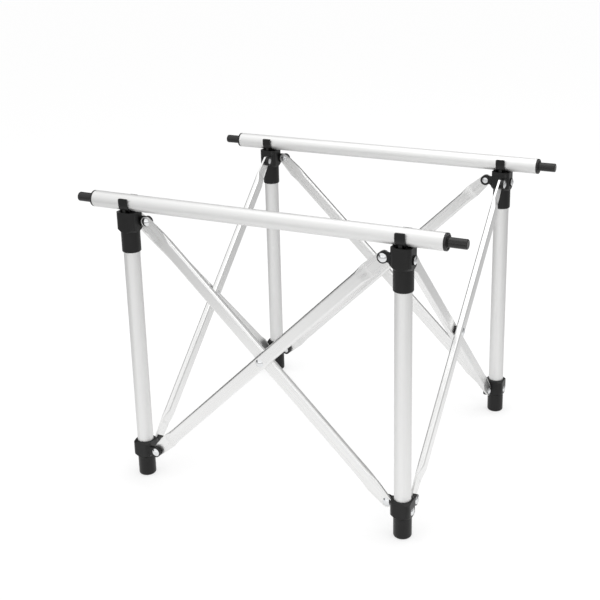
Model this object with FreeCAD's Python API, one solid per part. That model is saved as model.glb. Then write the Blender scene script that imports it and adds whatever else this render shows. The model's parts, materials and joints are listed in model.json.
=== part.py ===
import FreeCAD, Part
import math
import os

# Frame of a folding table with a roll-up top, standing open on its four feet.
# Four telescopic corner legs are joined by four scissor pairs of braces, and two loose rails lie in
# clips on the leg heads. Millimetres, +Z up, floor at Z = 0, origin at the middle of the floor plan,
# rails along X.

V = FreeCAD.Vector

# Legs
leg_spacing = 392.0
leg_tube_diameter = 22.0
leg_tube_wall = 1.2
leg_tube_length = 355.4

# Foot caps
foot_wall = 1.0
foot_floor = 3.0
foot_height = 28.7
foot_edge_round = 3.2

# Corner blocks, shared by the lower and upper brackets
block_wall = 2.5
block_corner_round = 6.0
block_taper_height = 4.5
block_taper_ledge = 0.3
lower_block_height = 24.8
lower_pivot_rise = 12.3
lower_fixing_rise = 8.8
lower_rim_wall = 1.6
lower_rim_taper = 3.0
upper_block_height = 28.0
upper_pivot_rise = 13.5
upper_fixing_rise = 11.7
fixing_boss_diameter = 12.0
fixing_boss_height = 1.7

# Lugs that carry the braces
lug_reach = 9.5
lug_radius = 7.2
lug_thickness = 5.1
lug_neck_above = 6.4
lug_neck_below = 5.0
lug_root_round = 4.0
lug_root_depth = 2.0

# Sleeve on the top of each leg tube
sleeve_wall = 1.8
sleeve_length = 28.1
sleeve_lip = 3.0
sleeve_edge_round = 1.7

# Inner tube of each telescopic leg, with its guide bush
inner_tube_gap = 0.8
inner_tube_wall = 1.0
inner_tube_length = 212.0
bush_length = 18.0
bush_floor = 2.0

# Top of the upper bracket and its rail clip
rim_wall = 2.2
pocket_depth = 5.5
pocket_corner_round = 1.0
pocket_inset = 0.3
socket_floor = 2.0
clip_width = 13.2
clip_thickness = 2.3
clip_arm_rise = 7.5
clip_corner_round = 1.5
clip_pedestal_depth = 9.0
clip_rib_thickness = 4.6
clip_rib_rise = 4.0
rail_lift = 0.5

# Braces: rectangular tubes with flattened ends
brace_width = 18.0
brace_depth = 9.0
brace_wall = 1.1
brace_corner_round = 3.0
brace_gap = 2.0
flat_width = 20.6
flat_tip_radius = 7.5
flat_length = 28.0
flat_blend = 16.0
flat_shift = 1.5
flat_border = 1.2
flat_recess = 0.4
flat_edge_round = 0.4
flat_slit = 0.3

# Rivets and the spacers between crossed braces
rivet_shank_diameter = 5.0
pivot_head_diameter = 11.6
pivot_head_height = 2.4
pivot_tail_diameter = 8.5
pivot_tail_height = 1.2
cross_head_diameter = 11.0
cross_head_height = 2.2
cross_tail_diameter = 6.5
cross_tail_height = 0.8
fixing_head_diameter = 10.2
fixing_head_height = 2.2
fixing_tail_diameter = 7.0
fixing_tail_height = 1.2
spacer_diameter = 13.0

# Rails and their end plugs
rail_tube_diameter = 22.0
rail_tube_wall = 1.2
rail_overhang = 52.2
plug_spigot_length = 18.0
plug_flange_thickness = 3.3
plug_edge_round = 1.0
plug_lip_width = 2.2
plug_groove_depth = 1.2
plug_collar_wall = 0.8
pin_diameter = 12.4
pin_length = 24.0
pin_edge_round = 1.5

# Clearances
pivot_clearance = 0.05
pivot_play = 0.1
bush_clearance = 0.1
lip_clearance = 0.3
head_seat_gap = 0.1
rail_clearance = 0.3

# Sizes that follow from those above
leg_radius = leg_tube_diameter / 2
leg_bore_radius = leg_radius - leg_tube_wall
inner_tube_radius = leg_bore_radius - inner_tube_gap
inner_bore_radius = inner_tube_radius - inner_tube_wall
rail_radius = rail_tube_diameter / 2
rail_tube_length = leg_spacing + 2 * rail_overhang
shank_radius = rivet_shank_diameter / 2
pivot_hole_radius = shank_radius + pivot_clearance

foot_radius = leg_radius + foot_wall
sleeve_radius = leg_radius + sleeve_wall
block_half = leg_radius + block_wall
block_corner_reach = math.sqrt(2) * (block_half - block_corner_round) + block_corner_round
pivot_reach = block_half + lug_reach

lower_pivot_height = foot_height + lower_pivot_rise
sleeve_top = foot_floor + leg_tube_length + sleeve_lip
head_bottom = sleeve_top + head_seat_gap
head_top = head_bottom + upper_block_height
upper_pivot_height = head_bottom + upper_pivot_rise
pocket_bottom = head_top - pocket_depth
socket_top = pocket_bottom - socket_floor
clip_inner_radius = rail_radius + rail_clearance
clip_outer_radius = clip_inner_radius + clip_thickness
rail_axis_height = head_top + rail_radius + rail_lift

flat_thickness = 2 * (brace_wall + flat_recess)
brace_offset = (brace_gap + brace_depth) / 2
flat_offset = brace_offset - flat_shift
lug_inner_face = flat_offset + flat_thickness / 2 + pivot_play
lug_outer_face = lug_inner_face + lug_thickness
flat_far_face = flat_offset - brace_wall - pivot_play
brace_run = leg_spacing - 2 * pivot_reach
brace_rise = upper_pivot_height - lower_pivot_height
brace_length = math.hypot(brace_run, brace_rise)
brace_angle = math.degrees(math.atan2(brace_rise, brace_run))
cross_height = (upper_pivot_height + lower_pivot_height) / 2

# Corners and sides in order round the frame, each a quarter turn from the one before.
# Side k runs from corner k on its left to corner k + 1 on its right, seen from outside.
CORNERS = ["front_left", "front_right", "back_right", "back_left"]
SIDES = ["front", "right", "back", "left"]


# Drawing helpers

def line(start, end):
    return Part.LineSegment(start, end).toShape()


def arc(start, middle, end):
    return Part.Arc(start, middle, end).toShape()


def quarter(centre, start, end):
    """Quarter circle about centre, from start to end."""
    towards = (start - centre) + (end - centre)
    towards.normalize()
    return arc(start, centre + towards * (start - centre).Length, end)


def face(edges):
    return Part.Face(Part.Wire(edges))


def spin(edges, axis):
    """Solid of revolution of a closed outline about an axis through the origin."""
    return face(edges).revolve(V(0, 0, 0), axis, 360)


def turned(shape, quarter_turns):
    copy = shape.copy()
    copy.rotate(V(0, 0, 0), V(0, 0, 1), 90 * quarter_turns)
    return copy


def moved(shape, offset):
    copy = shape.copy()
    copy.translate(offset)
    return copy


def pipe(outer_radius, inner_radius, length, base, axis):
    outer = Part.makeCylinder(outer_radius, length, base, axis)
    return outer.cut(Part.makeCylinder(inner_radius, length, base, axis))


def rounded_wire(half_x, half_y, radius, place):
    """Rounded rectangle; place turns a flat x, y into a point of the section's plane."""
    inner_x = half_x - radius
    inner_y = half_y - radius
    edges = []
    for sx, sy, flips in ((1, 1, False), (-1, 1, True), (-1, -1, False), (1, -1, True)):
        on_x = (sx * half_x, sy * inner_y)
        on_y = (sx * inner_x, sy * half_y)
        start, end = (on_y, on_x) if flips else (on_x, on_y)
        centre = place(sx * inner_x, sy * inner_y)
        if edges:
            edges.append(line(edges[-1].Vertexes[-1].Point, place(*start)))
        edges.append(quarter(centre, place(*start), place(*end)))
    edges.append(line(edges[-1].Vertexes[-1].Point, edges[0].Vertexes[0].Point))
    return Part.Wire(edges)


def rounded_prism(half, radius, bottom, top):
    wire = rounded_wire(half, half, radius, lambda x, y: V(x, y, bottom))
    return Part.Face(wire).extrude(V(0, 0, top - bottom))


# Legs

def make_leg_tube(outward):
    tube = pipe(leg_radius, leg_bore_radius, leg_tube_length, V(0, 0, foot_floor), V(0, 0, 1))
    return tube.cut(fixing_hole(foot_height + lower_fixing_rise, outward))


def make_foot_cap():
    r = foot_edge_round
    edges = [
        line(V(0, 0, 0), V(foot_radius - r, 0, 0)),
        quarter(V(foot_radius - r, 0, r), V(foot_radius - r, 0, 0), V(foot_radius, 0, r)),
        line(V(foot_radius, 0, r), V(foot_radius, 0, foot_height)),
        line(V(foot_radius, 0, foot_height), V(leg_radius, 0, foot_height)),
        line(V(leg_radius, 0, foot_height), V(leg_radius, 0, foot_floor)),
        line(V(leg_radius, 0, foot_floor), V(0, 0, foot_floor)),
        line(V(0, 0, foot_floor), V(0, 0, 0)),
    ]
    return spin(edges, V(0, 0, 1))


def make_top_sleeve():
    r = sleeve_edge_round
    bottom = sleeve_top - sleeve_length
    shoulder = sleeve_top - sleeve_lip
    guide = inner_tube_radius + lip_clearance
    edges = [
        line(V(leg_radius, 0, bottom), V(sleeve_radius - r, 0, bottom)),
        quarter(V(sleeve_radius - r, 0, bottom + r), V(sleeve_radius - r, 0, bottom),
                V(sleeve_radius, 0, bottom + r)),
        line(V(sleeve_radius, 0, bottom + r), V(sleeve_radius, 0, sleeve_top)),
        line(V(sleeve_radius, 0, sleeve_top), V(guide, 0, sleeve_top)),
        line(V(guide, 0, sleeve_top), V(guide, 0, shoulder)),
        line(V(guide, 0, shoulder), V(leg_radius, 0, shoulder)),
        line(V(leg_radius, 0, shoulder), V(leg_radius, 0, bottom)),
    ]
    return spin(edges, V(0, 0, 1))


def make_inner_tube(outward):
    base = V(0, 0, socket_top - inner_tube_length)
    tube = pipe(inner_tube_radius, inner_bore_radius, inner_tube_length, base, V(0, 0, 1))
    return tube.cut(fixing_hole(head_bottom + upper_fixing_rise, outward))


def make_guide_bush():
    """Cup on the lower end of the inner tube that runs in the leg tube."""
    tube_end = socket_top - inner_tube_length
    radius = leg_bore_radius - bush_clearance
    cup = Part.makeCylinder(radius, bush_length, V(0, 0, tube_end - bush_floor))
    seat = Part.makeCylinder(inner_tube_radius, bush_length, V(0, 0, tube_end))
    return cup.cut(seat)


# Brackets

def make_block(bottom, top, collar_radius):
    """Rounded square block whose lower corners taper to the round collar under it."""
    prism = rounded_prism(block_half, block_corner_round, bottom, top)
    start = collar_radius + block_taper_ledge
    cone = Part.makeCone(start, block_corner_reach, block_taper_height, V(0, 0, bottom))
    above = bottom + block_taper_height
    drum = Part.makeCylinder(block_corner_reach, top - above, V(0, 0, above))
    return prism.common(cone.fuse(drum))


def with_round_rim(block, top):
    """Cut the upper corners of a lower block back to a round rim near the leg."""
    below = top - lower_rim_taper
    cone = Part.makeCone(block_corner_reach, leg_radius + lower_rim_wall, lower_rim_taper, V(0, 0, below))
    drum = Part.makeCylinder(block_corner_reach, below, V(0, 0, 0))
    return block.common(drum.fuse(cone))


def make_lug(pivot_height, side):
    """Ear along +X that carries one brace end; side is the sign of its Y offset."""
    root = block_half - lug_root_depth
    r = lug_root_round
    above = pivot_height + lug_neck_above
    below = pivot_height - lug_neck_below
    neck_above = pivot_reach - math.sqrt(lug_radius ** 2 - lug_neck_above ** 2)
    neck_below = pivot_reach - math.sqrt(lug_radius ** 2 - lug_neck_below ** 2)
    edges = [
        line(V(root, 0, below - r), V(block_half, 0, below - r)),
        quarter(V(block_half + r, 0, below - r), V(block_half, 0, below - r), V(block_half + r, 0, below)),
        line(V(block_half + r, 0, below), V(neck_below, 0, below)),
        arc(V(neck_below, 0, below), V(pivot_reach + lug_radius, 0, pivot_height), V(neck_above, 0, above)),
        line(V(neck_above, 0, above), V(root, 0, above)),
        line(V(root, 0, above), V(root, 0, below - r)),
    ]
    plate = face(edges).extrude(V(0, side * lug_thickness, 0))
    plate.translate(V(0, side * lug_inner_face, 0))
    through = 2 * block_half
    hole = Part.makeCylinder(shank_radius, through, V(pivot_reach, -block_half, pivot_height), V(0, 1, 0))
    return plate.cut(hole)


def fixing_hole(height, outward):
    """Hole along X through the outer wall of a bracket and the tube in it."""
    return Part.makeCylinder(shank_radius, 2 * block_half, V(0, 0, height), V(outward, 0, 0))


def with_lugs(block, pivot_height, side, corner):
    lug = make_lug(pivot_height, side)
    return block.fuse([turned(lug, corner), turned(lug, corner + 1)])


def make_lower_bracket(corner, outward):
    top = foot_height + lower_block_height
    block = with_round_rim(make_block(foot_height, top, foot_radius), top)
    bracket = with_lugs(block, lower_pivot_height, -1, corner)
    bore = Part.makeCylinder(leg_radius, lower_block_height, V(0, 0, foot_height))
    return bracket.cut([bore, fixing_hole(foot_height + lower_fixing_rise, outward)]).removeSplitter()


def make_clip():
    """Upright U strap round the lower half of the rail, with rounded upper corners."""
    axis = rail_axis_height
    top = axis + clip_arm_rise
    outer = clip_outer_radius
    inner = clip_inner_radius
    half = clip_width / 2
    strap = face([
        line(V(-half, -outer, top), V(-half, -outer, axis)),
        arc(V(-half, -outer, axis), V(-half, 0, axis - outer), V(-half, outer, axis)),
        line(V(-half, outer, axis), V(-half, outer, top)),
        line(V(-half, outer, top), V(-half, inner, top)),
        line(V(-half, inner, top), V(-half, inner, axis)),
        arc(V(-half, inner, axis), V(-half, 0, axis - inner), V(-half, -inner, axis)),
        line(V(-half, -inner, axis), V(-half, -inner, top)),
        line(V(-half, -inner, top), V(-half, -outer, top)),
    ]).extrude(V(clip_width, 0, 0))
    r = clip_corner_round
    base = axis - outer
    side_view = face([
        line(V(-half, -outer, base), V(half, -outer, base)),
        line(V(half, -outer, base), V(half, -outer, top - r)),
        quarter(V(half - r, -outer, top - r), V(half, -outer, top - r), V(half - r, -outer, top)),
        line(V(half - r, -outer, top), V(r - half, -outer, top)),
        quarter(V(r - half, -outer, top - r), V(r - half, -outer, top), V(-half, -outer, top - r)),
        line(V(-half, -outer, top - r), V(-half, -outer, base)),
    ]).extrude(V(0, 2 * outer, 0))
    return strap.common(side_view)


def make_pocket():
    """Relief in the top of the block, a little narrower than the strap that rises from it."""
    wire = rounded_wire(clip_width / 2 - pocket_inset, block_half - rim_wall, pocket_corner_round,
                        lambda x, y: V(x, y, pocket_bottom))
    return Part.Face(wire).extrude(V(0, 0, pocket_depth))


def make_clip_support():
    """Pedestal under the strap and the rib that ties the strap to the front and back rims."""
    pedestal_top = rail_axis_height - clip_inner_radius
    pedestal = Part.makeBox(clip_width, clip_pedestal_depth, pedestal_top - pocket_bottom,
                            V(-clip_width / 2, -clip_pedestal_depth / 2, pocket_bottom))
    rib_half = block_half - rim_wall / 2
    rib_low = Part.makeBox(clip_rib_thickness, 2 * rib_half, head_top - pocket_bottom,
                           V(-clip_rib_thickness / 2, -rib_half, pocket_bottom))
    gusset_half = block_half - rim_wall
    gusset = Part.makeBox(clip_rib_thickness, 2 * gusset_half, clip_rib_rise,
                          V(-clip_rib_thickness / 2, -gusset_half, head_top))
    return pedestal.fuse([rib_low, gusset])


def make_rail_passage():
    """Room for the rail and its way out upwards."""
    long = 4 * block_half
    start = V(-long / 2, 0, rail_axis_height)
    round_seat = Part.makeCylinder(clip_inner_radius, long, start, V(1, 0, 0))
    way_out = Part.makeBox(long, 2 * clip_inner_radius, 2 * clip_arm_rise,
                           V(-long / 2, -clip_inner_radius, rail_axis_height))
    return round_seat.fuse(way_out)


def make_upper_bracket(corner, outward):
    block = make_block(head_bottom, head_top, sleeve_radius)
    bracket = with_lugs(block, upper_pivot_height, 1, corner)
    socket = Part.makeCylinder(inner_tube_radius, socket_top - head_bottom, V(0, 0, head_bottom))
    fixing_height = head_bottom + upper_fixing_rise
    boss = Part.makeCylinder(fixing_boss_diameter / 2, block_half + fixing_boss_height,
                             V(0, 0, fixing_height), V(outward, 0, 0))
    bracket = bracket.fuse(boss).cut([socket, make_pocket(), fixing_hole(fixing_height, outward)])
    support = make_clip_support().cut(make_rail_passage())
    return bracket.fuse([make_clip(), support]).removeSplitter()


# Rivets

def dome(start, end):
    """Shallow arc of a rivet head, bulging away from the shank."""
    crown, rim = (start, end) if start.x == 0 else (end, start)
    height = abs(crown.z - rim.z)
    away = 1 if crown.z > rim.z else -1
    radius = (rim.x ** 2 + height ** 2) / (2 * height)
    half_angle = math.asin(rim.x / radius) / 2
    middle = V(radius * math.sin(half_angle), 0, crown.z - away * radius * (1 - math.cos(half_angle)))
    return arc(start, middle, end)


def make_rivet(grip, head_diameter, head_height, tail_diameter, tail_height):
    """Domed rivet along Z: head above Z = 0, shank of length grip below it, tail below that."""
    head = head_diameter / 2
    tail = tail_diameter / 2
    edges = [
        line(V(0, 0, head_height), V(0, 0, -grip - tail_height)),
        dome(V(0, 0, -grip - tail_height), V(tail, 0, -grip)),
        line(V(tail, 0, -grip), V(shank_radius, 0, -grip)),
        line(V(shank_radius, 0, -grip), V(shank_radius, 0, 0)),
        line(V(shank_radius, 0, 0), V(head, 0, 0)),
        dome(V(head, 0, 0), V(0, 0, head_height)),
    ]
    return spin(edges, V(0, 0, 1))


def along_y(rivet, height, head_face, points_to):
    """Stand a rivet in a lug along +X, with its head's underside at Y = head_face."""
    placed = rivet.copy()
    placed.rotate(V(0, 0, 0), V(1, 0, 0), -90 * points_to)
    placed.translate(V(pivot_reach, head_face, height))
    return placed


def make_pivot_rivet(height, side, head_on_lug):
    grip = lug_outer_face - flat_far_face
    rivet = make_rivet(grip, pivot_head_diameter, pivot_head_height, pivot_tail_diameter, pivot_tail_height)
    if head_on_lug:
        return along_y(rivet, height, side * lug_outer_face, side)
    return along_y(rivet, height, side * flat_far_face, -side)


def make_fixing_rivet(height, outward, seat, bore_radius):
    """Blind rivet from its seat outside a bracket into the tube, with its tail inside the bore."""
    tail_place = math.sqrt(bore_radius ** 2 - (fixing_tail_diameter / 2) ** 2)
    rivet = make_rivet(seat - tail_place, fixing_head_diameter, fixing_head_height,
                       fixing_tail_diameter, fixing_tail_height)
    rivet.rotate(V(0, 0, 0), V(0, 1, 0), 90 * outward)
    rivet.translate(V(outward * seat, 0, height))
    return rivet


def make_bracket_rivets(corner, pivot_height, side, fixing):
    """The two brace pivots and the fixing rivet of one bracket; heads face out of the frame."""
    first = make_pivot_rivet(pivot_height, side, head_on_lug=side < 0)
    second = make_pivot_rivet(pivot_height, side, head_on_lug=side > 0)
    return Part.makeCompound([turned(first, corner), turned(second, corner + 1), fixing])


# Braces

def brace_section(width, depth, radius, x, shift):
    return rounded_wire(depth / 2, width / 2, radius, lambda y, z: V(x, y + shift, z))


def end_outline(inset, y):
    """Edges of a flattened end about a pivot at X = 0: straight sides that narrow to a round tip."""
    start = inset - flat_length
    half = flat_width / 2 - inset
    tip = flat_tip_radius - inset
    bearing = math.atan2(half, start) - math.acos(tip / math.hypot(half, start))
    touch_x = tip * math.cos(bearing)
    touch_z = tip * math.sin(bearing)
    return [
        line(V(start, y, -half), V(touch_x, y, -touch_z)),
        arc(V(touch_x, y, -touch_z), V(tip, y, 0), V(touch_x, y, touch_z)),
        line(V(touch_x, y, touch_z), V(start, y, half)),
        line(V(start, y, half), V(start, y, -half)),
    ]


def make_brace_end(pivot, shift):
    """Flattened end whose two faces are pressed in inside a border."""
    plate = face(end_outline(0, -flat_thickness / 2)).extrude(V(0, flat_thickness, 0))
    recess = face(end_outline(flat_border, brace_wall)).extrude(V(0, flat_recess, 0))
    plate = plate.cut([recess, moved(recess, V(0, -2 * brace_wall - flat_recess, 0))])
    return moved(plate, V(pivot, shift, 0))


def make_brace(cross_hole_radius, shift):
    """One brace lying along X, centred on the origin, with its flattened ends shifted along Y."""
    pivot = brace_length / 2
    flat_start = pivot - flat_length
    tube_end = flat_start - flat_blend
    section = brace_section(brace_width, brace_depth, brace_corner_round, tube_end, 0)
    flat = brace_section(flat_width, flat_thickness, flat_edge_round, flat_start, shift)
    hollow = brace_section(brace_width - 2 * brace_wall, brace_depth - 2 * brace_wall,
                           brace_corner_round - brace_wall, tube_end, 0)
    slit = brace_section(flat_width - 2 * brace_wall, flat_slit, flat_slit / 3, flat_start, shift)

    outside = [Part.Face(section).extrude(V(-2 * tube_end, 0, 0))]
    inside = [Part.Face(hollow).extrude(V(-2 * tube_end, 0, 0))]
    blend = Part.makeLoft([section, flat], True, True)
    closing = Part.makeLoft([hollow, slit], True, True)
    end = make_brace_end(pivot, shift)
    for shape, whole in ((blend, outside), (end, outside), (closing, inside)):
        whole += [shape, shape.mirror(V(0, 0, 0), V(1, 0, 0))]

    long = 2 * brace_depth
    holes = []
    for x, radius in ((-pivot, pivot_hole_radius), (0, cross_hole_radius), (pivot, pivot_hole_radius)):
        holes.append(Part.makeCylinder(radius, long, V(x, -long / 2, 0), V(0, 1, 0)))
    solid = outside[0].fuse(outside[1:]).removeSplitter()
    return solid.cut(inside[0].fuse(inside[1:])).cut(holes)


def on_front(shape, outward, tilt):
    """Tilt a brace in the front side's plane and set it outward of the plane of the legs."""
    placed = shape.copy()
    placed.rotate(V(0, 0, 0), V(0, -1, 0), tilt)
    placed.translate(V(0, -leg_spacing / 2 - outward, cross_height))
    return placed


def make_cross_rivet():
    """Rivet through both braces of a pair, head on the outer one."""
    outer_face = brace_gap / 2 + brace_depth
    rivet = make_rivet(2 * outer_face + pivot_play, cross_head_diameter, cross_head_height,
                       cross_tail_diameter, cross_tail_height)
    rivet.rotate(V(0, 0, 0), V(1, 0, 0), 90)
    rivet.translate(V(0, -leg_spacing / 2 - outer_face, cross_height))
    return rivet


def make_cross_spacer():
    base = V(0, -leg_spacing / 2 - brace_gap / 2, cross_height)
    return pipe(spacer_diameter / 2, shank_radius, brace_gap - pivot_play, base, V(0, 1, 0))


# Rails

def make_rail_tube():
    return pipe(rail_radius, rail_radius - rail_tube_wall, rail_tube_length,
                V(-rail_tube_length / 2, 0, rail_axis_height), V(1, 0, 0))


def make_rail_plug():
    """Plug for the +X end of a rail: spigot in the tube, grooved flange on its end, pin beyond."""
    tube_end = rail_tube_length / 2
    flange_end = tube_end + plug_flange_thickness
    tip = flange_end + pin_length
    spigot = rail_radius - rail_tube_wall
    pin = pin_diameter / 2
    edge = plug_edge_round
    lip = rail_radius - plug_lip_width
    collar = pin + plug_collar_wall
    groove = flange_end - plug_groove_depth
    nose = pin_edge_round
    edges = [
        line(V(tube_end - plug_spigot_length, 0, 0), V(tube_end - plug_spigot_length, 0, spigot)),
        line(V(tube_end - plug_spigot_length, 0, spigot), V(tube_end, 0, spigot)),
        line(V(tube_end, 0, spigot), V(tube_end, 0, rail_radius)),
        line(V(tube_end, 0, rail_radius), V(flange_end - edge, 0, rail_radius)),
        quarter(V(flange_end - edge, 0, rail_radius - edge), V(flange_end - edge, 0, rail_radius),
                V(flange_end, 0, rail_radius - edge)),
        line(V(flange_end, 0, rail_radius - edge), V(flange_end, 0, lip)),
        line(V(flange_end, 0, lip), V(groove, 0, lip)),
        line(V(groove, 0, lip), V(groove, 0, collar)),
        line(V(groove, 0, collar), V(flange_end, 0, collar)),
        line(V(flange_end, 0, collar), V(flange_end, 0, pin)),
        line(V(flange_end, 0, pin), V(tip - nose, 0, pin)),
        quarter(V(tip - nose, 0, pin - nose), V(tip - nose, 0, pin), V(tip, 0, pin - nose)),
        line(V(tip, 0, pin - nose), V(tip, 0, 0)),
        line(V(tip, 0, 0), V(tube_end - plug_spigot_length, 0, 0)),
    ]
    return moved(spin(edges, V(1, 0, 0)), V(0, 0, rail_axis_height))


# The whole frame

def corner_nodes(index):
    """Every piece of one corner leg and its head, by node name."""
    name = CORNERS[index]
    right = name.endswith("right")
    back = name.startswith("back")
    outward = 1 if right else -1
    place = V(outward * leg_spacing / 2, (1 if back else -1) * leg_spacing / 2, 0)
    leg_fixing = make_fixing_rivet(foot_height + lower_fixing_rise, outward, block_half, leg_bore_radius)
    head_fixing = make_fixing_rivet(head_bottom + upper_fixing_rise, outward,
                                    block_half + fixing_boss_height, inner_bore_radius)
    pieces = {
        "leg_tube": make_leg_tube(outward),
        "foot_cap": make_foot_cap(),
        "lower_bracket": make_lower_bracket(index, outward),
        "leg_rivets": make_bracket_rivets(index, lower_pivot_height, -1, leg_fixing),
        "top_sleeve": make_top_sleeve(),
        "inner_tube": make_inner_tube(outward),
        "guide_bush": make_guide_bush(),
        "upper_bracket": make_upper_bracket(index, outward),
        "head_rivets": make_bracket_rivets(index, upper_pivot_height, 1, head_fixing),
    }
    return {f"{piece}_{name}": moved(shape, place) for piece, shape in pieces.items()}


def side_nodes(index):
    """The scissor pair of one side, by node name."""
    name = SIDES[index]
    pieces = {
        "outer_brace": on_front(make_brace(shank_radius, flat_shift), brace_offset, brace_angle),
        "inner_brace": on_front(make_brace(pivot_hole_radius, -flat_shift), -brace_offset, -brace_angle),
        "cross_rivet": make_cross_rivet(),
        "cross_spacer": make_cross_spacer(),
    }
    return {f"{piece}_{name}": turned(shape, index) for piece, shape in pieces.items()}


def rail_nodes(name, y):
    """One rail with its two end plugs, by node name."""
    plug = make_rail_plug()
    mirrored = plug.mirror(V(0, 0, 0), V(1, 0, 0))
    pieces = {
        f"rail_tube_{name}": make_rail_tube(),
        f"rail_plug_{name}_left": mirrored,
        f"rail_plug_{name}_right": plug,
    }
    return {node: moved(shape, V(0, y, 0)) for node, shape in pieces.items()}


def main():
    os.makedirs("parts", exist_ok=True)
    nodes = {}
    for index in range(4):
        nodes.update(corner_nodes(index))
        nodes.update(side_nodes(index))
    nodes.update(rail_nodes("front", -leg_spacing / 2))
    nodes.update(rail_nodes("back", leg_spacing / 2))
    for node, shape in nodes.items():
        shape.exportStep(f"parts/{node}.step")


main()
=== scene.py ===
import bmesh
import bpy
import json
import math
from collections import namedtuple
from mathutils import Matrix, Vector

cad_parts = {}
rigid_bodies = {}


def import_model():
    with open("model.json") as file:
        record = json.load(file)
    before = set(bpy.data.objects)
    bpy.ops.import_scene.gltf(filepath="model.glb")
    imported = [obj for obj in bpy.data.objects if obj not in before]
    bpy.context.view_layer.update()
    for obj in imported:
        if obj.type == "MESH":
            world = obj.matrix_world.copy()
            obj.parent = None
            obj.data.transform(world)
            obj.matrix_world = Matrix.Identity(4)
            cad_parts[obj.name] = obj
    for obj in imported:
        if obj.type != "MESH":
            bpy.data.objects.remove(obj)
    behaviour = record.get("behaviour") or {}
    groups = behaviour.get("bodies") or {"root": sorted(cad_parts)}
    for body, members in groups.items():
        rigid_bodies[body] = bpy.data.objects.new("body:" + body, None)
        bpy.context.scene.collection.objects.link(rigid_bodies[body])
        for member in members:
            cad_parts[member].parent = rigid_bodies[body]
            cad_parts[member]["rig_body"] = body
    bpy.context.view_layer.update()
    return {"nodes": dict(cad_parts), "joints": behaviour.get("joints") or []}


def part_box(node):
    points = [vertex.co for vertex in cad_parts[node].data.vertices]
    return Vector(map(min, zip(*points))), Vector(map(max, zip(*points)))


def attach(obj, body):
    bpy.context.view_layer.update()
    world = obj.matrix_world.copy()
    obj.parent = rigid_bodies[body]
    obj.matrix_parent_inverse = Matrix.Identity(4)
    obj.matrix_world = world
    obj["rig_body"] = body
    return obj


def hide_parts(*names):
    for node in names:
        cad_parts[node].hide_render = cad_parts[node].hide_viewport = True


# Looks of the folding table frame: satin tubes and braces, black moulded brackets, bright rivets.
# Metres, in the frame's own axes: x to the right, y to the back, z up.

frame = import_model()

CORNERS = ("front_left", "front_right", "back_right", "back_left")
SIDES = ("front", "right", "back", "left")
RAILS = ("front", "back")
RAIL_ENDS = ("left", "right")
RIGHT = Vector((1, 0, 0))
BACK = Vector((0, 1, 0))
UP = Vector((0, 0, 1))
MM = 0.001

# Camera, as the photograph was taken: focal length and picture centre in pixels, angles in degrees
PICTURE_PX = 600
FOCAL_PX = 1085.6
CENTRE_PX = (325.0, 230.0)
CAMERA_PITCH = 17.113
CAMERA_YAW = -26.171
CAMERA_ROLL = -1.036
CAMERA_PLACE = Vector((0.6486, -1.3258, 0.7844))
SENSOR = 36.0

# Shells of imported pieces: welding, faces taken as flat, edges taken as sharp, rounded rims
WELD = 0.002 * MM
FLAT_ANGLE = math.radians(0.6)
EDGE_ANGLE = math.radians(32)
RIM_ROUNDING = 0.3 * MM
RIM_STEPS = 2

# Rivets: diameters and heights of heads and upset tails, diameter and depth of the hole in a tail
PIVOT_HEAD = (11.6 * MM, 2.4 * MM)
PIVOT_TAIL = (8.5 * MM, 1.2 * MM)
CROSS_HEAD = (11.0 * MM, 2.2 * MM)
CROSS_TAIL = (6.5 * MM, 0.8 * MM)
FIXING_HEAD = (10.2 * MM, 2.2 * MM)
TAIL_HOLE = (3.2 * MM, 0.4 * MM)
NO_HOLE = (1.0 * MM, 0.0)
SHANK_DIAMETER = 5.0 * MM

# Rivet forms: steps round and across a head, powers of its dome, the cone it is raised from, its sharp rim
BUTTON_SPOKES = 40
BUTTON_RINGS = 14
DOME_POWERS = (2.0, 0.9)
BLANK_HEIGHT = 0.1 * MM
RIVET_EDGE_ANGLE = math.radians(60)

# Rivet places: faces of lug and flattened end from the leg's plane, of crossed braces from between them
LUG_FACE = 10.7 * MM
FLAT_FACE = 2.8 * MM
CROSS_FACE = 10.0 * MM

# Fixing rivets: distance of their seats from the leg's axis, drop below the brace pivots
LOWER_SEAT = 13.5 * MM
UPPER_SEAT = 15.2 * MM
FIXING_DROP_UPPER = 1.8 * MM
FIXING_DROP_LOWER = 3.5 * MM

# Colours are linear
WHITE = (1, 1, 1, 1)
ANODISED = (0.85, 0.85, 0.845, 1)
CHARCOAL = (0.007, 0.007, 0.007, 1)
PLUG_GREY = (0.016, 0.016, 0.016, 1)
BRIGHT_PLATE = (0.77, 0.78, 0.79, 1)
FLOOR_WHITE = (0.8, 0.8, 0.8, 1)
FLOOR_SHADED = (0.4, 0.4, 0.4, 1)

# Clouds of tone and fine grain, and how far drawing lines are stretched along a piece
CLOUD_DETAIL = 3.0
CLOUD_RANGE = (0.3, 0.7)
GRAIN_DETAIL = 2.0
GRAIN_ROUGHNESS = 0.6
GRAIN_HEIGHT = 0.05 * MM
DRAWN_STRETCH = (0.02, 1, 1)
ALONG_PIECE = "along_piece"

# Floor: half its side, its glow, and a painted pool of light, seen only in the metal, that dims over a
# range of distances
FLOOR_HALF = 12.0
FLOOR_GLOW = 0.63
# Centre of the painted pool of light that the metal sees on the floor
PAINTED_POOL_CENTRE = (0.2, -0.45, 0)
PAINTED_POOL_DIMMING = (0.5, 1.15)
PAINTED_POOL_IN_METAL = (0.63, 0.2)

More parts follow.
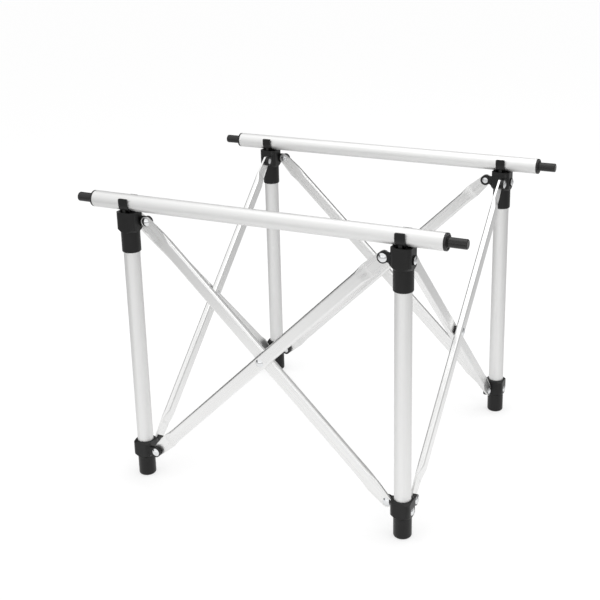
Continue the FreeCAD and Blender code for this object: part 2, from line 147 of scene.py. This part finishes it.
# Surroundings: light of the horizon, which dims to the left and back and at the right, and light overhead
HORIZON_DIMS_TOWARDS = (-0.7, 0.72, 0)
HORIZON_DIMMING = (-0.3, 0.2)
HORIZON_LIGHT = (1.55, 0.03)
RIGHT_DIMMING = (0.3, 0.85)
RIGHT_SHARE = (1.0, 0.3)
OVERHEAD_FACES = (0.05, -0.3, 0.95)
OVERHEAD_RISE = (0.25, 0.6)
OVERHEAD_LIGHT = 1.1

# Softboxes: place, point that they face, side and watts
RIM_SOFTBOX = ((0.9, 1.6, 1.1), (0, 0, 0.2), 1.0, 1.5)
OVERHEAD_SOFTBOX = ((0.3, 0.3, 1.7), (0.3, 0.3, 0), 1.8, 8)

# Kinds of sockets, and the numbers of those that share a name with others on their node
NUMBER = "NodeSocketFloat"
COLOR = "NodeSocketColor"
VECTOR = "NodeSocketVector"
GEOMETRY = "NodeSocketGeometry"
MATERIAL = "NodeSocketMaterial"
MIX_A, MIX_B, MIX_RESULT = 6, 7, 2
COMPARED = {"FLOAT": (0, 1), "INT": (2, 3)}
NUMBER_RESULTS = ("LENGTH", "DISTANCE", "DOT_PRODUCT")


# Small helpers

def new_object(name, data):
    obj = bpy.data.objects.new(name, data)
    bpy.context.scene.collection.objects.link(obj)
    return obj


def settle(obj):
    """Turn an object's modifiers into plain mesh."""
    graph = bpy.context.evaluated_depsgraph_get()
    mesh = bpy.data.meshes.new_from_object(obj.evaluated_get(graph), depsgraph=graph)
    obj.modifiers.clear()
    obj.data = mesh


def paint(mesh, material):
    mesh.materials.clear()
    mesh.materials.append(material)


def middle(node):
    """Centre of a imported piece's box."""
    low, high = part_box(node)
    return (low + high) / 2


def joint_place(name):
    return Vector(next(joint["pos_m"] for joint in frame["joints"] if joint["name"] == name))


def quarter_turn(vector, turns):
    """A vector turned about the upright, as the frame's corners and sides follow each other."""
    return Matrix.Rotation(math.pi / 2 * turns, 3, "Z") @ vector


# Nodes

def new_group(kind, name, inputs, outputs):
    """A node group with named sockets, and the sockets as its inner nodes see them."""
    tree = bpy.data.node_groups.new(name, kind)
    for label, socket_kind in inputs.items():
        tree.interface.new_socket(label, in_out="INPUT", socket_type=socket_kind)
    for label, socket_kind in outputs.items():
        tree.interface.new_socket(label, in_out="OUTPUT", socket_type=socket_kind)
    return tree, tree.nodes.new("NodeGroupInput").outputs, tree.nodes.new("NodeGroupOutput").inputs


def add_node(tree, kind, inputs, **settings):
    """A node with its settings; each input is joined to a socket or set to a constant."""
    node = tree.nodes.new(kind)
    for name, value in settings.items():
        setattr(node, name, value)
    for label, value in inputs.items():
        if isinstance(value, bpy.types.NodeSocket):
            tree.links.new(value, node.inputs[label])
        else:
            node.inputs[label].default_value = value
    return node


def add_math(tree, operation, *values):
    return add_node(tree, "ShaderNodeMath", dict(enumerate(values)), operation=operation).outputs["Value"]


def add_vector_math(tree, operation, *values):
    node = add_node(tree, "ShaderNodeVectorMath", dict(enumerate(values)), operation=operation)
    return node.outputs["Value" if operation in NUMBER_RESULTS else "Vector"]


def add_range(tree, value, low, high, to_low, to_high, interpolation="LINEAR"):
    inputs = {"Value": value, "From Min": low, "From Max": high, "To Min": to_low, "To Max": to_high}
    return add_node(tree, "ShaderNodeMapRange", inputs, interpolation_type=interpolation).outputs["Result"]


def add_noise(tree, vector, scale, detail, roughness=0.5):
    inputs = {"Vector": vector, "Scale": scale, "Detail": detail, "Roughness": roughness}
    return add_node(tree, "ShaderNodeTexNoise", inputs).outputs["Fac"]


def add_compare(tree, data_type, operation, value, limit):
    first, second = COMPARED[data_type]
    inputs = {first: value, second: limit}
    node = add_node(tree, "FunctionNodeCompare", inputs, data_type=data_type, operation=operation)
    return node.outputs["Result"]


def add_attribute(tree, name, data_type):
    node = add_node(tree, "GeometryNodeInputNamedAttribute", {"Name": name}, data_type=data_type)
    return node.outputs["Attribute"]


def object_vector(tree):
    return tree.nodes.new("ShaderNodeTexCoord").outputs["Object"]


# Effects that the materials share

def make_tone_group():
    """Soft cloudy change of tone and gloss, as on any handled surface."""
    inputs = {"Vector": VECTOR, "Color": COLOR, "Scale": NUMBER, "Tone Change": NUMBER,
              "Gloss Low": NUMBER, "Gloss High": NUMBER}
    outputs = {"Color": COLOR, "Roughness": NUMBER}
    tree, given, out = new_group("ShaderNodeTree", "surface_tone", inputs, outputs)
    cloud = add_noise(tree, given["Vector"], given["Scale"], CLOUD_DETAIL)
    darkest = add_math(tree, "SUBTRACT", 1.0, given["Tone Change"])
    tone = add_range(tree, cloud, *CLOUD_RANGE, darkest, 1.0)
    shade = add_node(tree, "ShaderNodeMix", {"Factor": 1.0, MIX_A: given["Color"], MIX_B: tone},
                     data_type="RGBA", blend_type="MULTIPLY")
    gloss = add_range(tree, cloud, *CLOUD_RANGE, given["Gloss Low"], given["Gloss High"])
    tree.links.new(shade.outputs[MIX_RESULT], out["Color"])
    tree.links.new(gloss, out["Roughness"])
    return tree


def make_relief_group():
    """Fine relief: round grain, or streaks where the vector is stretched along the piece."""
    inputs = {"Vector": VECTOR, "Scale": NUMBER, "Depth": NUMBER}
    tree, given, out = new_group("ShaderNodeTree", "fine_relief", inputs, {"Normal": VECTOR})
    grain = add_noise(tree, given["Vector"], given["Scale"], GRAIN_DETAIL, GRAIN_ROUGHNESS)
    bump_inputs = {"Distance": GRAIN_HEIGHT, "Strength": given["Depth"], "Height": grain}
    bump = add_node(tree, "ShaderNodeBump", bump_inputs)
    tree.links.new(bump.outputs["Normal"], out["Normal"])
    return tree


TONE = make_tone_group()
RELIEF = make_relief_group()


# Materials

def new_material(name):
    material = bpy.data.materials.new(name)
    material.use_nodes = True
    return material, material.node_tree, material.node_tree.nodes["Principled BSDF"]


def dress(tree, shader, vector, color, tone_scale, tone_change, gloss, grain_scale, depth):
    """Join the tone and relief groups to a shader; scales are per metre, gloss is a range of roughness."""
    tone_inputs = {"Vector": vector, "Color": color, "Scale": tone_scale, "Tone Change": tone_change,
                   "Gloss Low": gloss[0], "Gloss High": gloss[1]}
    tone = add_node(tree, "ShaderNodeGroup", tone_inputs, node_tree=TONE)
    relief_inputs = {"Vector": vector, "Scale": grain_scale, "Depth": depth}
    relief = add_node(tree, "ShaderNodeGroup", relief_inputs, node_tree=RELIEF)
    tree.links.new(tone.outputs["Color"], shader.inputs["Base Color"])
    tree.links.new(tone.outputs["Roughness"], shader.inputs["Roughness"])
    tree.links.new(relief.outputs["Normal"], shader.inputs["Normal"])


def make_anodised(name, gloss, depth):
    """Anodised aluminium with faint drawing lines along each tube or brace."""
    material, tree, shader = new_material(name)
    shader.inputs["Metallic"].default_value = 1.0
    along = add_node(tree, "ShaderNodeAttribute", {}, attribute_name=ALONG_PIECE).outputs["Vector"]
    drawn = add_node(tree, "ShaderNodeMapping", {"Vector": along, "Scale": DRAWN_STRETCH}).outputs["Vector"]
    dress(tree, shader, drawn, ANODISED, tone_scale=260.0, tone_change=0.05, gloss=gloss,
          grain_scale=1800.0, depth=depth)
    return material


def make_moulded(name, color, ior, **finish):
    """Dark plastic with a moulded grain."""
    material, tree, shader = new_material(name)
    shader.inputs["IOR"].default_value = ior
    dress(tree, shader, object_vector(tree), color, **finish)
    return material


def make_plated(name, tone_change, gloss, depth):
    """Bright plated rivet metal with a trace of setting marks."""
    material, tree, shader = new_material(name)
    shader.inputs["Metallic"].default_value = 1.0
    dress(tree, shader, object_vector(tree), BRIGHT_PLATE, tone_scale=400.0, tone_change=tone_change,
          gloss=gloss, grain_scale=900.0, depth=depth)
    return material


TUBE_SATIN = make_anodised("tube_satin", gloss=(0.52, 0.6), depth=0.12)
BRACE_SATIN = make_anodised("brace_satin", gloss=(0.25, 0.33), depth=0.03)
MOULDED_CHARCOAL = make_moulded("moulded_charcoal", CHARCOAL, ior=1.38, tone_scale=90.0, tone_change=0.18,
                                gloss=(0.34, 0.42), grain_scale=1600.0, depth=0.25)
GRAINED_CHARCOAL = make_moulded("grained_charcoal", PLUG_GREY, ior=1.45, tone_scale=900.0, tone_change=0.9,
                                gloss=(0.22, 0.3), grain_scale=700.0, depth=1.0)
RIVET_PLATE = make_plated("rivet_plate", tone_change=0.06, gloss=(0.04, 0.1), depth=0.04)
UPSET_PLATE = make_plated("rivet_upset", tone_change=0.2, gloss=(0.3, 0.45), depth=0.4)


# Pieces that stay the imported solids, and pieces with their own shell

def piece_axes(node):
    """Directions along, across and through a tube or brace, from its name and box."""
    if node.startswith("rail_tube"):
        return RIGHT, BACK, UP
    if "brace" not in node:
        return UP, RIGHT, BACK
    low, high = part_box(node)
    size = high - low
    level = quarter_turn(RIGHT, SIDES.index(node.split("_")[-1]))
    climb = size.z if node.startswith("outer") else -size.z
    along = (level * max(size.x, size.y) + UP * climb).normalized()
    through = UP.cross(level)
    return along, through.cross(along), through


def mark_along(mesh, node):
    """Store each point's place along, across and through its piece for the drawing lines."""
    axes = piece_axes(node)
    marks = mesh.attributes.new(ALONG_PIECE, "FLOAT_VECTOR", "POINT")
    for vertex, mark in zip(mesh.vertices, marks.data):
        mark.vector = [vertex.co.dot(axis) for axis in axes]


def finish_tube(node):
    """Satin with drawing lines on a packed tube."""
    mesh = frame["nodes"][node].data
    mark_along(mesh, node)
    paint(mesh, TUBE_SATIN)


def shell(node, material, rounding=0.0):
    """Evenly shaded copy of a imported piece, in its place, with rounded rims or else crisp edges."""
    packed = frame["nodes"][node]
    mesh = packed.data.copy()
    form = bmesh.new()
    form.from_mesh(mesh)
    bmesh.ops.remove_doubles(form, verts=form.verts, dist=WELD)
    bmesh.ops.dissolve_limit(form, angle_limit=FLAT_ANGLE, verts=form.verts, edges=form.edges)
    form.to_mesh(mesh)
    form.free()
    mesh.shade_smooth()
    obj = new_object(f"{node}_shell", mesh)
    if rounding:
        bevel = obj.modifiers.new("rounded rims", "BEVEL")
        bevel.width = rounding
        bevel.segments = RIM_STEPS
        bevel.use_clamp_overlap = False
        bevel.limit_method = "ANGLE"
        bevel.angle_limit = EDGE_ANGLE
    else:
        mesh.set_sharp_from_angle(angle=EDGE_ANGLE)
    normals = obj.modifiers.new("even shading", "WEIGHTED_NORMAL")
    normals.keep_sharp = True
    settle(obj)
    paint(obj.data, material)
    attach(obj, packed["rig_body"])
    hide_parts(node)
    return obj


for corner in CORNERS:
    finish_tube(f"leg_tube_{corner}")
    finish_tube(f"inner_tube_{corner}")
    paint(frame["nodes"][f"guide_bush_{corner}"].data, MOULDED_CHARCOAL)
    shell(f"lower_bracket_{corner}", MOULDED_CHARCOAL)
    shell(f"upper_bracket_{corner}", MOULDED_CHARCOAL)
    shell(f"top_sleeve_{corner}", MOULDED_CHARCOAL, RIM_ROUNDING)
    shell(f"foot_cap_{corner}", MOULDED_CHARCOAL, RIM_ROUNDING)
for side in SIDES:
    for node in (f"outer_brace_{side}", f"inner_brace_{side}"):
        brace = shell(node, BRACE_SATIN)
        mark_along(brace.data, node)
    paint(frame["nodes"][f"cross_spacer_{side}"].data, MOULDED_CHARCOAL)
for rail in RAILS:
    finish_tube(f"rail_tube_{rail}")
    for end in RAIL_ENDS:
        shell(f"rail_plug_{rail}_{end}", GRAINED_CHARCOAL, RIM_ROUNDING)


# Rivet forms

HEAD, CROSSING_HEAD, SEATED_HEAD, TAIL, CROSSING_TAIL = range(5)
BUTTON_INPUTS = ("Diameter", "Height", "Dimple Diameter", "Dimple Depth")
BUTTONS = (
    ("Head", HEAD, PIVOT_HEAD, NO_HOLE),
    ("Cross Head", CROSSING_HEAD, CROSS_HEAD, NO_HOLE),
    ("Fixing Head", SEATED_HEAD, FIXING_HEAD, NO_HOLE),
    ("Tail", TAIL, PIVOT_TAIL, TAIL_HOLE),
    ("Cross Tail", CROSSING_TAIL, CROSS_TAIL, TAIL_HOLE),
)


def make_button_group():
    """One rivet head: a low cone raised to a flattened dome, with a dimple at its middle."""
    inputs = dict.fromkeys(BUTTON_INPUTS, NUMBER)
    tree, given, out = new_group("GeometryNodeTree", "rivet_button", inputs, {"Geometry": GEOMETRY})
    radius = add_math(tree, "MULTIPLY", given["Diameter"], 0.5)
    blank_inputs = {"Vertices": BUTTON_SPOKES, "Side Segments": BUTTON_RINGS, "Radius Top": 0.0,
                    "Radius Bottom": radius, "Depth": BLANK_HEIGHT}
    blank = add_node(tree, "GeometryNodeMeshCone", blank_inputs, fill_type="NGON").outputs["Mesh"]

    place = tree.nodes.new("GeometryNodeInputPosition").outputs["Position"]
    flat = add_vector_math(tree, "MULTIPLY", place, (1, 1, 0))
    from_middle = add_vector_math(tree, "LENGTH", flat)
    share = add_math(tree, "DIVIDE", from_middle, radius)
    fall = add_math(tree, "POWER", share, DOME_POWERS[0])
    remaining = add_math(tree, "MAXIMUM", add_math(tree, "SUBTRACT", 1.0, fall), 0.0)
    dome = add_math(tree, "POWER", remaining, DOME_POWERS[1])
    rise = add_math(tree, "MULTIPLY", dome, given["Height"])
    dimple_radius = add_math(tree, "MULTIPLY", given["Dimple Diameter"], 0.5)
    dimple = add_range(tree, from_middle, 0.0, dimple_radius, given["Dimple Depth"], 0.0, "SMOOTHSTEP")
    height = add_math(tree, "SUBTRACT", rise, dimple)

    lift = add_node(tree, "ShaderNodeCombineXYZ", {"Z": height}).outputs["Vector"]
    target = add_vector_math(tree, "ADD", flat, lift)
    raised = add_node(tree, "GeometryNodeSetPosition", {"Geometry": blank, "Position": target})
    tree.links.new(raised.outputs["Geometry"], out["Geometry"])
    return tree


def make_rivet_group(button):
    """Rivet heads, tails and shanks on points that say which kind each is and where it faces."""
    inputs = {"Points": GEOMETRY, "Shank Diameter": NUMBER}
    inputs |= {f"{label} {size}": NUMBER for label, *_ in BUTTONS for size in BUTTON_INPUTS}
    inputs |= {"Material": MATERIAL, "Tail Material": MATERIAL}
    tree, given, out = new_group("GeometryNodeTree", "rivets", inputs, {"Geometry": GEOMETRY})
    kind = add_attribute(tree, "kind", "INT")
    grip = add_attribute(tree, "grip", "FLOAT")
    outward = add_attribute(tree, "outward", "FLOAT_VECTOR")
    facing = add_node(tree, "FunctionNodeAlignRotationToVector", {"Vector": outward}, axis="Z")
    join = tree.nodes.new("GeometryNodeJoinGeometry")

    def spread(form, chosen, **more):
        """Copies of a form on the chosen points, turned outwards and joined to the rest."""
        placing = {"Points": given["Points"], "Selection": chosen, "Instance": form,
                   "Rotation": facing.outputs["Rotation"], **more}
        copies = add_node(tree, "GeometryNodeInstanceOnPoints", placing)
        tree.links.new(copies.outputs["Instances"], join.inputs["Geometry"])

    for label, number, *_ in BUTTONS:
        sizes = {size: given[f"{label} {size}"] for size in BUTTON_INPUTS}
        form = add_node(tree, "GeometryNodeGroup", sizes, node_tree=button).outputs["Geometry"]
        spread(form, add_compare(tree, "INT", "EQUAL", kind, number))

    shank_radius = add_math(tree, "MULTIPLY", given["Shank Diameter"], 0.5)
    pin_inputs = {"Vertices": BUTTON_SPOKES, "Radius": shank_radius, "Depth": 1.0}
    pin = add_node(tree, "GeometryNodeMeshCylinder", pin_inputs).outputs["Mesh"]
    sunk = add_node(tree, "GeometryNodeTransform", {"Geometry": pin, "Translation": (0, 0, -0.5)})
    length = add_node(tree, "ShaderNodeCombineXYZ", {"X": 1.0, "Y": 1.0, "Z": grip}).outputs["Vector"]
    spread(sunk.outputs["Geometry"], add_compare(tree, "FLOAT", "GREATER_THAN", grip, 0.0), Scale=length)

    real = add_node(tree, "GeometryNodeRealizeInstances", {"Geometry": join.outputs["Geometry"]})
    coat_inputs = {"Geometry": real.outputs["Geometry"], "Material": given["Material"]}
    coat = add_node(tree, "GeometryNodeSetMaterial", coat_inputs)
    tail_inputs = {"Geometry": coat.outputs["Geometry"], "Material": given["Tail Material"],
                   "Selection": add_compare(tree, "INT", "GREATER_EQUAL", kind, TAIL)}
    tail_coat = add_node(tree, "GeometryNodeSetMaterial", tail_inputs)
    tree.links.new(tail_coat.outputs["Geometry"], out["Geometry"])
    return tree


RIVETS = make_rivet_group(make_button_group())


# Rivets in their places

Spot = namedtuple("Spot", "kind place outward grip")
LOWER_PIVOT = joint_place("frame_fold")
UPPER_PIVOT = joint_place("front_left_head_pivot")
CROSSING = joint_place("front_cross")
REACH = LOWER_PIVOT.x - middle("leg_tube_front_left").x


def set_input(modifier, label, value):
    socket = next(item for item in modifier.node_group.interface.items_tree
                  if item.item_type == "SOCKET" and item.in_out == "INPUT" and item.name == label)
    modifier[socket.identifier] = value


def make_rivets(name, spots, body, node):
    """Rivets of one body as one plain mesh; a spot's grip is the length of its shank, or 0 for none."""
    mesh = bpy.data.meshes.new(name)
    mesh.from_pydata([spot.place for spot in spots], [], [])
    outward = [number for spot in spots for number in spot.outward]
    mesh.attributes.new("outward", "FLOAT_VECTOR", "POINT").data.foreach_set("vector", outward)
    mesh.attributes.new("kind", "INT", "POINT").data.foreach_set("value", [spot.kind for spot in spots])
    mesh.attributes.new("grip", "FLOAT", "POINT").data.foreach_set("value", [spot.grip for spot in spots])
    obj = new_object(name, mesh)
    modifier = obj.modifiers.new("rivets", "NODES")
    modifier.node_group = RIVETS
    set_input(modifier, "Shank Diameter", SHANK_DIAMETER)
    for label, _, button, hole in BUTTONS:
        for size, value in zip(BUTTON_INPUTS, button + hole):
            set_input(modifier, f"{label} {size}", value)
    set_input(modifier, "Material", RIVET_PLATE)
    set_input(modifier, "Tail Material", UPSET_PLATE)
    settle(obj)
    obj.data.shade_smooth()
    obj.data.set_sharp_from_angle(angle=RIVET_EDGE_ANGLE)
    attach(obj, body)
    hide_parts(node)


def bracket_spots(index, height, lug_side, fixing_drop, seat):
    """The two brace pivots and the fixing rivet of one bracket; every head faces out of the frame."""
    leg = middle(f"leg_tube_{CORNERS[index]}")
    axis = Vector((leg.x, leg.y, height))
    faces = sorted((lug_side * LUG_FACE, lug_side * FLAT_FACE))
    spots = []
    for turns, head_side in ((index, -1), (index + 1, 1)):
        head_face, tail_face = faces if head_side < 0 else reversed(faces)
        outward = quarter_turn(BACK * head_side, turns)
        head_place = axis + quarter_turn(Vector((REACH, head_face, 0)), turns)
        tail_place = axis + quarter_turn(Vector((REACH, tail_face, 0)), turns)
        spots.append(Spot(HEAD, head_place, outward, LUG_FACE - FLAT_FACE))
        spots.append(Spot(TAIL, tail_place, -outward, 0.0))
    outward = RIGHT * math.copysign(1, leg.x)
    spots.append(Spot(SEATED_HEAD, axis - UP * fixing_drop + outward * seat, outward, seat / 2))
    return spots


for index, corner in enumerate(CORNERS):
    lower = bracket_spots(index, LOWER_PIVOT.z, -1, FIXING_DROP_LOWER, LOWER_SEAT)
    make_rivets(f"leg_rivets_{corner}_set", lower, f"{corner}_leg", f"leg_rivets_{corner}")
    upper = bracket_spots(index, UPPER_PIVOT.z, 1, FIXING_DROP_UPPER, UPPER_SEAT)
    make_rivets(f"head_rivets_{corner}_set", upper, f"{corner}_head", f"head_rivets_{corner}")
for turns, side in enumerate(SIDES):
    outward = quarter_turn(-BACK, turns)
    centre = quarter_turn(CROSSING, turns)
    head = Spot(CROSSING_HEAD, centre + outward * CROSS_FACE, outward, 2 * CROSS_FACE)
    tail = Spot(CROSSING_TAIL, centre - outward * CROSS_FACE, -outward, 0.0)
    make_rivets(f"cross_rivet_{side}_set", [head, tail], f"{side}_outer_brace", f"cross_rivet_{side}")


# Studio: pale floor, soft lamps, and surroundings that only the camera sees as white all round

def make_floor():
    """Paper that the camera sees as white with the object's shadow, and the metal as a painted pool of
    light.
    """
    mesh = bpy.data.meshes.new("studio_floor")
    corners = [(FLOOR_HALF * x, FLOOR_HALF * y, 0) for x, y in ((-1, -1), (1, -1), (1, 1), (-1, 1))]
    mesh.from_pydata(corners, [], [(0, 1, 2, 3)])
    floor = new_object("studio_floor", mesh)
    material, tree, shader = new_material("floor_paper")
    tree.nodes.remove(shader)
    path = tree.nodes.new("ShaderNodeLightPath").outputs
    seen_or_mirrored = add_math(tree, "MAXIMUM", path["Is Camera Ray"], path["Is Glossy Ray"])
    shown = add_math(tree, "MAXIMUM", seen_or_mirrored, path["Is Transmission Ray"])
    # Painted pool of light: glow that dims away from a point on the floor, shown only to glossy rays
    away = add_vector_math(tree, "DISTANCE", object_vector(tree), PAINTED_POOL_CENTRE)
    painted_pool = add_range(tree, away, *PAINTED_POOL_DIMMING, *PAINTED_POOL_IN_METAL)
    direct = add_math(tree, "MULTIPLY", path["Is Camera Ray"], FLOOR_GLOW)
    strength = add_math(tree, "MAXIMUM", painted_pool, direct)
    glow = add_node(tree, "ShaderNodeEmission", {"Strength": strength}).outputs["Emission"]
    plain = add_node(tree, "ShaderNodeBsdfDiffuse", {"Color": FLOOR_WHITE}).outputs["BSDF"]
    shaded = add_node(tree, "ShaderNodeBsdfDiffuse", {"Color": FLOOR_SHADED}).outputs["BSDF"]
    white = add_node(tree, "ShaderNodeAddShader", {0: shaded, 1: glow}).outputs["Shader"]
    paper = add_node(tree, "ShaderNodeMixShader", {"Fac": shown, 1: plain, 2: white}).outputs["Shader"]
    tree.links.new(paper, tree.nodes["Material Output"].inputs["Surface"])
    paint(mesh, material)


def make_world():
    """White for the camera; as light and in the metal, dim to the left and back and at the right."""
    world = bpy.data.worlds.new("studio")
    bpy.context.scene.world = world
    world.use_nodes = True
    tree = world.node_tree
    direction = tree.nodes.new("ShaderNodeTexCoord").outputs["Generated"]
    aside = add_vector_math(tree, "DOT_PRODUCT", direction, HORIZON_DIMS_TOWARDS)
    front = add_range(tree, aside, *HORIZON_DIMMING, *HORIZON_LIGHT)
    rightward = add_vector_math(tree, "DOT_PRODUCT", direction, RIGHT)
    share = add_range(tree, rightward, *RIGHT_DIMMING, *RIGHT_SHARE)
    horizon = add_math(tree, "MULTIPLY", front, share)
    above = add_vector_math(tree, "DOT_PRODUCT", direction, OVERHEAD_FACES)
    overhead = add_range(tree, above, *OVERHEAD_RISE, 0.0, 1.0)
    from_above = add_math(tree, "MULTIPLY", overhead, OVERHEAD_LIGHT)
    from_horizon = add_math(tree, "MULTIPLY", add_math(tree, "SUBTRACT", 1.0, overhead), horizon)
    light = add_math(tree, "ADD", from_above, from_horizon)
    camera_ray = tree.nodes.new("ShaderNodeLightPath").outputs["Is Camera Ray"]
    background = tree.nodes["Background"]
    background.inputs["Color"].default_value = WHITE
    tree.links.new(add_math(tree, "MAXIMUM", light, camera_ray), background.inputs["Strength"])


def make_lamp(name, place, aim, size, watts):
    """A square softbox that faces a point."""
    data = bpy.data.lights.new(name, "AREA")
    data.shape = "SQUARE"
    data.size = size
    data.energy = watts
    lamp = new_object(name, data)
    lamp.location = place
    lamp.rotation_euler = (Vector(aim) - Vector(place)).to_track_quat("-Z", "Y").to_euler()


def make_camera():
    """The photograph's camera, turned by yaw, pitch and roll, with its picture centre shifted."""
    pitch, yaw, roll = (math.radians(angle) for angle in (CAMERA_PITCH, CAMERA_YAW, CAMERA_ROLL))
    forward = Vector((math.sin(yaw) * math.cos(pitch), math.cos(yaw) * math.cos(pitch), -math.sin(pitch)))
    level = Vector((math.cos(yaw), -math.sin(yaw), 0))
    above = level.cross(forward)
    right = math.cos(roll) * level + math.sin(roll) * above
    up = math.cos(roll) * above - math.sin(roll) * level
    data = bpy.data.cameras.new("photo_camera")
    data.sensor_width = SENSOR
    data.lens = FOCAL_PX * SENSOR / PICTURE_PX
    data.shift_x = 0.5 - CENTRE_PX[0] / PICTURE_PX
    data.shift_y = CENTRE_PX[1] / PICTURE_PX - 0.5
    camera = new_object("photo_camera", data)
    turn = Matrix((right, up, -forward)).transposed()
    camera.matrix_world = Matrix.Translation(CAMERA_PLACE) @ turn.to_4x4()
    bpy.context.scene.camera = camera


make_floor()
make_world()
make_lamp("rim_softbox", *RIM_SOFTBOX)
make_lamp("overhead_softbox", *OVERHEAD_SOFTBOX)
make_camera()
bpy.context.scene.view_settings.view_transform = "Standard"
